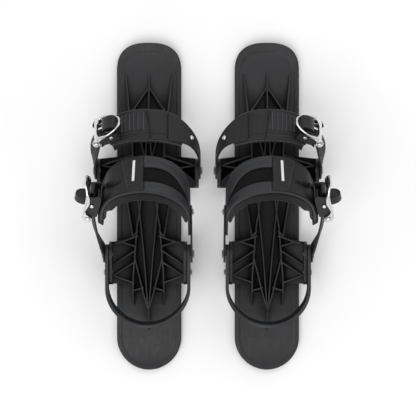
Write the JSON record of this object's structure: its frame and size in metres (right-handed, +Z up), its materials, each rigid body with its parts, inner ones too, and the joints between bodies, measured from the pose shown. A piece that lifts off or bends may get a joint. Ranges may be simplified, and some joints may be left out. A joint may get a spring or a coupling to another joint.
{
  "type": "pair of short ski skates",
  "caption": "Pair of short moulded skis worn under winter boots, each with a ribbed deck, a heel hoop and ratchet straps over toe and ankle.",
  "frame": {"origin": "on the ground, midway between the two skis, at mid length", "axes": "+Y towards the upturned tips, +X to the wearer's right, +Z up from the running bases"},
  "size_m": [0.3068, 0.4, 0.16],
  "materials": {
    "ski_plastic": "satin moulded nylon, fine texture, charcoal black",
    "hoop_plastic": "satin moulded nylon, charcoal black",
    "strap_rubber": "satin moulded thermoplastic with fine grain, black",
    "pad_fabric": "woven nylon over foam with bound edges, black",
    "ladder_plastic": "moulded polyurethane, slight sheen, black",
    "buckle_plastic": "moulded glass-filled nylon, black",
    "lever_metal": "polished cast aluminium, bright",
    "pin_steel": "plated steel",
    "spring_steel": "bright spring wire"
  },
  "bodies": {
    "left_ski": {"left_ski_body": "ski_plastic", "left_heel_hoop": "hoop_plastic", "left_hoop_screw_medial": "pin_steel", "left_hoop_screw_lateral": "pin_steel", "left_ankle_bolt_medial": "pin_steel", "left_ankle_bolt_lateral": "pin_steel", "left_toe_bolt_medial": "pin_steel", "left_toe_bolt_lateral": "pin_steel"},
    "left_toe_strap": {"left_toe_connector": "strap_rubber", "left_toe_pad": "pad_fabric", "left_toe_shell": "strap_rubber", "left_toe_adjust_screw": "pin_steel", "left_toe_buckle_base": "buckle_plastic", "left_toe_lever_pin": "pin_steel", "left_toe_tab_pin": "pin_steel", "left_toe_tab_spring": "spring_steel"},
    "left_toe_lever": {"left_toe_buckle_lever": "lever_metal"},
    "left_toe_tab": {"left_toe_buckle_tab": "buckle_plastic"},
    "left_toe_ladder": {"left_toe_ladder": "ladder_plastic"},
    "left_ankle_strap": {"left_ankle_connector": "strap_rubber", "left_ankle_pad": "pad_fabric", "left_ankle_shell": "strap_rubber", "left_ankle_adjust_screw": "pin_steel", "left_ankle_buckle_base": "buckle_plastic", "left_ankle_lever_pin": "pin_steel", "left_ankle_tab_pin": "pin_steel", "left_ankle_tab_spring": "spring_steel"},
    "left_ankle_lever": {"left_ankle_buckle_lever": "lever_metal"},
    "left_ankle_tab": {"left_ankle_buckle_tab": "buckle_plastic"},
    "left_ankle_ladder": {"left_ankle_ladder": "ladder_plastic"},
    "right_ski": {"right_ski_body": "ski_plastic", "right_heel_hoop": "hoop_plastic", "right_hoop_screw_medial": "pin_steel", "right_hoop_screw_lateral": "pin_steel", "right_ankle_bolt_medial": "pin_steel", "right_ankle_bolt_lateral": "pin_steel", "right_toe_bolt_medial": "pin_steel", "right_toe_bolt_lateral": "pin_steel"},
    "right_toe_strap": {"right_toe_connector": "strap_rubber", "right_toe_pad": "pad_fabric", "right_toe_shell": "strap_rubber", "right_toe_adjust_screw": "pin_steel", "right_toe_buckle_base": "buckle_plastic", "right_toe_lever_pin": "pin_steel", "right_toe_tab_pin": "pin_steel", "right_toe_tab_spring": "spring_steel"},
    "right_toe_lever": {"right_toe_buckle_lever": "lever_metal"},
    "right_toe_tab": {"right_toe_buckle_tab": "buckle_plastic"},
    "right_toe_ladder": {"right_toe_ladder": "ladder_plastic"},
    "right_ankle_strap": {"right_ankle_connector": "strap_rubber", "right_ankle_pad": "pad_fabric", "right_ankle_shell": "strap_rubber", "right_ankle_adjust_screw": "pin_steel", "right_ankle_buckle_base": "buckle_plastic", "right_ankle_lever_pin": "pin_steel", "right_ankle_tab_pin": "pin_steel", "right_ankle_tab_spring": "spring_steel"},
    "right_ankle_lever": {"right_ankle_buckle_lever": "lever_metal"},
    "right_ankle_tab": {"right_ankle_buckle_tab": "buckle_plastic"},
    "right_ankle_ladder": {"right_ankle_ladder": "ladder_plastic"}
  },
  "joints": [
    {"name": "left_toe_swing", "type": "hinge", "parent": "left_ski", "child": "left_toe_strap", "pos_m": [-0.0722, 0.043, 0.045], "axis": [1, 0, 0], "range_deg": [-25, 8]},
    {"name": "left_toe_ladder_swing", "type": "hinge", "parent": "left_ski", "child": "left_toe_ladder", "pos_m": [-0.0722, 0.043, 0.045], "axis": [1, 0, 0], "range_deg": [-25, 8]},
    {"name": "left_toe_lever_open", "type": "hinge", "parent": "left_toe_strap", "child": "left_toe_lever", "pos_m": [-0.13038, 0.0849, 0.08249], "axis": [0.0336, -0.8687, 0.4943], "range_deg": [0, 70]},
    {"name": "left_toe_tab_release", "type": "hinge", "parent": "left_toe_strap", "child": "left_toe_tab", "pos_m": [-0.11243, 0.09064, 0.09136], "axis": [0.0336, -0.8687, 0.4943], "range_deg": [0, 12], "stiffness_Nm_per_rad": 0.02},
    {"name": "left_ankle_swing", "type": "hinge", "parent": "left_ski", "child": "left_ankle_strap", "pos_m": [-0.0722, -0.057, 0.039], "axis": [1, 0, 0], "range_deg": [-6, 50]},
    {"name": "left_ankle_ladder_swing", "type": "hinge", "parent": "left_ski", "child": "left_ankle_ladder", "pos_m": [-0.0722, -0.057, 0.039], "axis": [1, 0, 0], "range_deg": [-6, 50]},
    {"name": "left_ankle_lever_open", "type": "hinge", "parent": "left_ankle_strap", "child": "left_ankle_lever", "pos_m": [-0.13837, -0.00382, 0.09806], "axis": [0, -0.7431, 0.6691], "range_deg": [0, 70]},
    {"name": "left_ankle_tab_release", "type": "hinge", "parent": "left_ankle_strap", "child": "left_ankle_tab", "pos_m": [-0.13246, 0.00954, 0.11291], "axis": [0, -0.7431, 0.6691], "range_deg": [0, 5], "stiffness_Nm_per_rad": 0.02},
    {"name": "right_toe_swing", "type": "hinge", "parent": "right_ski", "child": "right_toe_strap", "pos_m": [0.0722, 0.043, 0.045], "axis": [1, 0, 0], "range_deg": [-25, 8]},
    {"name": "right_toe_ladder_swing", "type": "hinge", "parent": "right_ski", "child": "right_toe_ladder", "pos_m": [0.0722, 0.043, 0.045], "axis": [1, 0, 0], "range_deg": [-25, 8]},
    {"name": "right_toe_lever_open", "type": "hinge", "parent": "right_toe_strap", "child": "right_toe_lever", "pos_m": [0.13038, 0.0849, 0.08249], "axis": [0.0336, 0.8687, -0.4943], "range_deg": [0, 70]},
    {"name": "right_toe_tab_release", "type": "hinge", "parent": "right_toe_strap", "child": "right_toe_tab", "pos_m": [0.11243, 0.09064, 0.09136], "axis": [0.0336, 0.8687, -0.4943], "range_deg": [0, 12], "stiffness_Nm_per_rad": 0.02},
    {"name": "right_ankle_swing", "type": "hinge", "parent": "right_ski", "child": "right_ankle_strap", "pos_m": [0.0722, -0.057, 0.039], "axis": [1, 0, 0], "range_deg": [-6, 50]},
    {"name": "right_ankle_ladder_swing", "type": "hinge", "parent": "right_ski", "child": "right_ankle_ladder", "pos_m": [0.0722, -0.057, 0.039], "axis": [1, 0, 0], "range_deg": [-6, 50]},
    {"name": "right_ankle_lever_open", "type": "hinge", "parent": "right_ankle_strap", "child": "right_ankle_lever", "pos_m": [0.13837, -0.00382, 0.09806], "axis": [0, 0.7431, -0.6691], "range_deg": [0, 70]},
    {"name": "right_ankle_tab_release", "type": "hinge", "parent": "right_ankle_strap", "child": "right_ankle_tab", "pos_m": [0.13246, 0.00954, 0.11291], "axis": [0, 0.7431, -0.6691], "range_deg": [0, 5], "stiffness_Nm_per_rad": 0.02},
    {"name": "pair_apart", "type": "slide", "parent": "left_ski", "child": "right_ski", "axis": [1, 0, 0], "range_m": [0, 0.2]}
  ],
  "couplings": [
    {"joint": "left_toe_ladder_swing", "follows": "left_toe_swing", "ratio": 1},
    {"joint": "left_ankle_ladder_swing", "follows": "left_ankle_swing", "ratio": 1},
    {"joint": "right_toe_ladder_swing", "follows": "right_toe_swing", "ratio": 1},
    {"joint": "right_ankle_ladder_swing", "follows": "right_ankle_swing", "ratio": 1}
  ]
}
